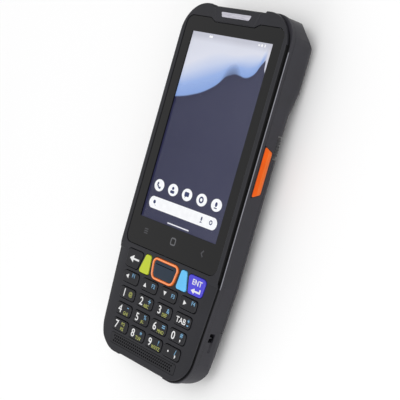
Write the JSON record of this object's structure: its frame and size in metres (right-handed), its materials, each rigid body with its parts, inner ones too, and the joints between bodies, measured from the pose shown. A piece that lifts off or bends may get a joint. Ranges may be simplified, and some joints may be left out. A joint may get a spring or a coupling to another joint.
{
  "type": "portable barcode data terminal",
  "caption": "Handheld computer with touch screen, keypad, orange-ringed scan key, side scan keys, scan window and latched battery pack.",
  "frame": {"origin": "under the middle of the outline, level with the lowest face of the back", "axes": "+Z out of the screen, +Y towards the scan end, +X to the right of the screen"},
  "size_m": [0.0712, 0.1624, 0.0194],
  "materials": {
    "shell_plastic": "satin, fine texture",
    "housing_plastic": "satin, fine texture",
    "cover_glass": "gloss",
    "display_panel": "lit picture",
    "badge_metal": "satin",
    "grille_plastic": "matte",
    "seal_rubber": "matte",
    "screw_steel": "machined",
    "board_laminate": "satin",
    "mat_silicone": "matte",
    "scan_filter": "gloss",
    "engine_housing": "matte",
    "speaker_body": "matte",
    "motor_steel": "smooth",
    "camera_body": "matte",
    "camera_glass": "gloss",
    "flash_diffuser": "gloss",
    "socket_steel": "smooth",
    "contact_gold": "smooth",
    "switch_body": "matte",
    "post_steel": "smooth",
    "pack_plastic": "satin, fine texture",
    "cell_wrap": "satin",
    "latch_plastic": "satin",
    "orange_rubber": "matte",
    "button_rubber": "matte",
    "keycap_plastic": "satin",
    "scan_key_plastic": "gloss",
    "ring_plastic": "translucent gloss",
    "yellow_plastic": "satin",
    "blue_plastic": "satin",
    "enter_plastic": "satin"
  },
  "bodies": {
    "housing": {"front_shell": "shell_plastic", "glass_panel": "cover_glass", "display_module": "display_panel", "badge_plate": "badge_metal", "speaker_grille": "grille_plastic", "perimeter_seal": "seal_rubber", "rear_housing": "housing_plastic", "housing_screws": "screw_steel", "main_board": "board_laminate", "keypad_board": "board_laminate", "keypad_mat": "mat_silicone", "scan_window": "scan_filter", "scan_engine": "engine_housing", "loudspeaker": "speaker_body", "vibration_motor": "motor_steel", "camera_module": "camera_body", "camera_window": "camera_glass", "flash_lens": "flash_diffuser", "usb_socket": "socket_steel", "battery_contacts": "contact_gold", "side_switches": "switch_body", "strap_posts": "post_steel"},
    "battery_pack": {"battery_cover": "pack_plastic", "battery_cell": "cell_wrap", "battery_pads": "contact_gold"},
    "latch_right": {"latch_right": "latch_plastic"},
    "latch_left": {"latch_left": "latch_plastic"},
    "side_key_right": {"side_key_right": "orange_rubber"},
    "side_key_left": {"side_key_left": "orange_rubber"},
    "volume_key": {"volume_key": "button_rubber"},
    "power_key": {"power_key": "button_rubber"},
    "key_scan": {"key_scan": "scan_key_plastic", "scan_ring": "ring_plastic"},
    "key_back": {"key_back": "keycap_plastic"},
    "key_left": {"key_left": "keycap_plastic"},
    "key_up": {"key_up": "keycap_plastic"},
    "key_down": {"key_down": "keycap_plastic"},
    "key_right": {"key_right": "keycap_plastic"},
    "key_1": {"key_1": "keycap_plastic"},
    "key_2": {"key_2": "keycap_plastic"},
    "key_3": {"key_3": "keycap_plastic"},
    "key_tab": {"key_tab": "keycap_plastic"},
    "key_4": {"key_4": "keycap_plastic"},
    "key_5": {"key_5": "keycap_plastic"},
    "key_6": {"key_6": "keycap_plastic"},
    "key_0": {"key_0": "keycap_plastic"},
    "key_7": {"key_7": "keycap_plastic"},
    "key_8": {"key_8": "keycap_plastic"},
    "key_9": {"key_9": "keycap_plastic"},
    "key_dot": {"key_dot": "keycap_plastic"},
    "key_yellow": {"key_yellow": "yellow_plastic"},
    "key_blue": {"key_blue": "blue_plastic"},
    "key_enter": {"key_enter": "enter_plastic"}
  },
  "joints": [
    {"name": "battery_pack_hinge", "type": "hinge", "parent": "housing", "child": "battery_pack", "pos_m": [0, -0.0542, 0.0052], "axis": [-1, 0, 0], "range_deg": [0, 25]},
    {"name": "latch_right_slide", "type": "slide", "parent": "housing", "child": "latch_right", "axis": [-1, 0, 0], "range_m": [0, 0.0012], "stiffness_N_per_m": 1500, "springref_m": -0.0006},
    {"name": "latch_left_slide", "type": "slide", "parent": "housing", "child": "latch_left", "axis": [1, 0, 0], "range_m": [0, 0.0012], "stiffness_N_per_m": 1500, "springref_m": -0.0006},
    {"name": "side_key_right_press", "type": "slide", "parent": "housing", "child": "side_key_right", "axis": [-1, 0, 0], "range_m": [0, 0.0005], "stiffness_N_per_m": 2500, "springref_m": -0.0003},
    {"name": "side_key_left_press", "type": "slide", "parent": "housing", "child": "side_key_left", "axis": [1, 0, 0], "range_m": [0, 0.0005], "stiffness_N_per_m": 2500, "springref_m": -0.0003},
    {"name": "volume_key_press", "type": "slide", "parent": "housing", "child": "volume_key", "axis": [1, 0, 0], "range_m": [0, 0.0005], "stiffness_N_per_m": 2500, "springref_m": -0.0003},
    {"name": "power_key_press", "type": "slide", "parent": "housing", "child": "power_key", "axis": [1, 0, 0], "range_m": [0, 0.0005], "stiffness_N_per_m": 2500, "springref_m": -0.0003},
    {"name": "key_scan_press", "type": "slide", "parent": "housing", "child": "key_scan", "axis": [0, 0, -1], "range_m": [0, 0.0006], "stiffness_N_per_m": 1500, "springref_m": -0.0003},
    {"name": "key_back_press", "type": "slide", "parent": "housing", "child": "key_back", "axis": [0, 0, -1], "range_m": [0, 0.0006], "stiffness_N_per_m": 1500, "springref_m": -0.0003},
    {"name": "key_left_press", "type": "slide", "parent": "housing", "child": "key_left", "axis": [0, 0, -1], "range_m": [0, 0.0006], "stiffness_N_per_m": 1500, "springref_m": -0.0003},
    {"name": "key_up_press", "type": "slide", "parent": "housing", "child": "key_up", "axis": [0, 0, -1], "range_m": [0, 0.0006], "stiffness_N_per_m": 1500, "springref_m": -0.0003},
    {"name": "key_down_press", "type": "slide", "parent": "housing", "child": "key_down", "axis": [0, 0, -1], "range_m": [0, 0.0006], "stiffness_N_per_m": 1500, "springref_m": -0.0003},
    {"name": "key_right_press", "type": "slide", "parent": "housing", "child": "key_right", "axis": [0, 0, -1], "range_m": [0, 0.0006], "stiffness_N_per_m": 1500, "springref_m": -0.0003},
    {"name": "key_1_press", "type": "slide", "parent": "housing", "child": "key_1", "axis": [0, 0, -1], "range_m": [0, 0.0006], "stiffness_N_per_m": 1500, "springref_m": -0.0003},
    {"name": "key_2_press", "type": "slide", "parent": "housing", "child": "key_2", "axis": [0, 0, -1], "range_m": [0, 0.0006], "stiffness_N_per_m": 1500, "springref_m": -0.0003},
    {"name": "key_3_press", "type": "slide", "parent": "housing", "child": "key_3", "axis": [0, 0, -1], "range_m": [0, 0.0006], "stiffness_N_per_m": 1500, "springref_m": -0.0003},
    {"name": "key_tab_press", "type": "slide", "parent": "housing", "child": "key_tab", "axis": [0, 0, -1], "range_m": [0, 0.0006], "stiffness_N_per_m": 1500, "springref_m": -0.0003},
    {"name": "key_4_press", "type": "slide", "parent": "housing", "child": "key_4", "axis": [0, 0, -1], "range_m": [0, 0.0006], "stiffness_N_per_m": 1500, "springref_m": -0.0003},
    {"name": "key_5_press", "type": "slide", "parent": "housing", "child": "key_5", "axis": [0, 0, -1], "range_m": [0, 0.0006], "stiffness_N_per_m": 1500, "springref_m": -0.0003},
    {"name": "key_6_press", "type": "slide", "parent": "housing", "child": "key_6", "axis": [0, 0, -1], "range_m": [0, 0.0006], "stiffness_N_per_m": 1500, "springref_m": -0.0003},
    {"name": "key_0_press", "type": "slide", "parent": "housing", "child": "key_0", "axis": [0, 0, -1], "range_m": [0, 0.0006], "stiffness_N_per_m": 1500, "springref_m": -0.0003},
    {"name": "key_7_press", "type": "slide", "parent": "housing", "child": "key_7", "axis": [0, 0, -1], "range_m": [0, 0.0006], "stiffness_N_per_m": 1500, "springref_m": -0.0003},
    {"name": "key_8_press", "type": "slide", "parent": "housing", "child": "key_8", "axis": [0, 0, -1], "range_m": [0, 0.0006], "stiffness_N_per_m": 1500, "springref_m": -0.0003},
    {"name": "key_9_press", "type": "slide", "parent": "housing", "child": "key_9", "axis": [0, 0, -1], "range_m": [0, 0.0006], "stiffness_N_per_m": 1500, "springref_m": -0.0003},
    {"name": "key_dot_press", "type": "slide", "parent": "housing", "child": "key_dot", "axis": [0, 0, -1], "range_m": [0, 0.0006], "stiffness_N_per_m": 1500, "springref_m": -0.0003},
    {"name": "key_yellow_press", "type": "slide", "parent": "housing", "child": "key_yellow", "axis": [0, 0, -1], "range_m": [0, 0.0006], "stiffness_N_per_m": 1500, "springref_m": -0.0003},
    {"name": "key_blue_press", "type": "slide", "parent": "housing", "child": "key_blue", "axis": [0, 0, -1], "range_m": [0, 0.0006], "stiffness_N_per_m": 1500, "springref_m": -0.0003},
    {"name": "key_enter_press", "type": "slide", "parent": "housing", "child": "key_enter", "axis": [0, 0, -1], "range_m": [0, 0.0006], "stiffness_N_per_m": 1500, "springref_m": -0.0003}
  ]
}
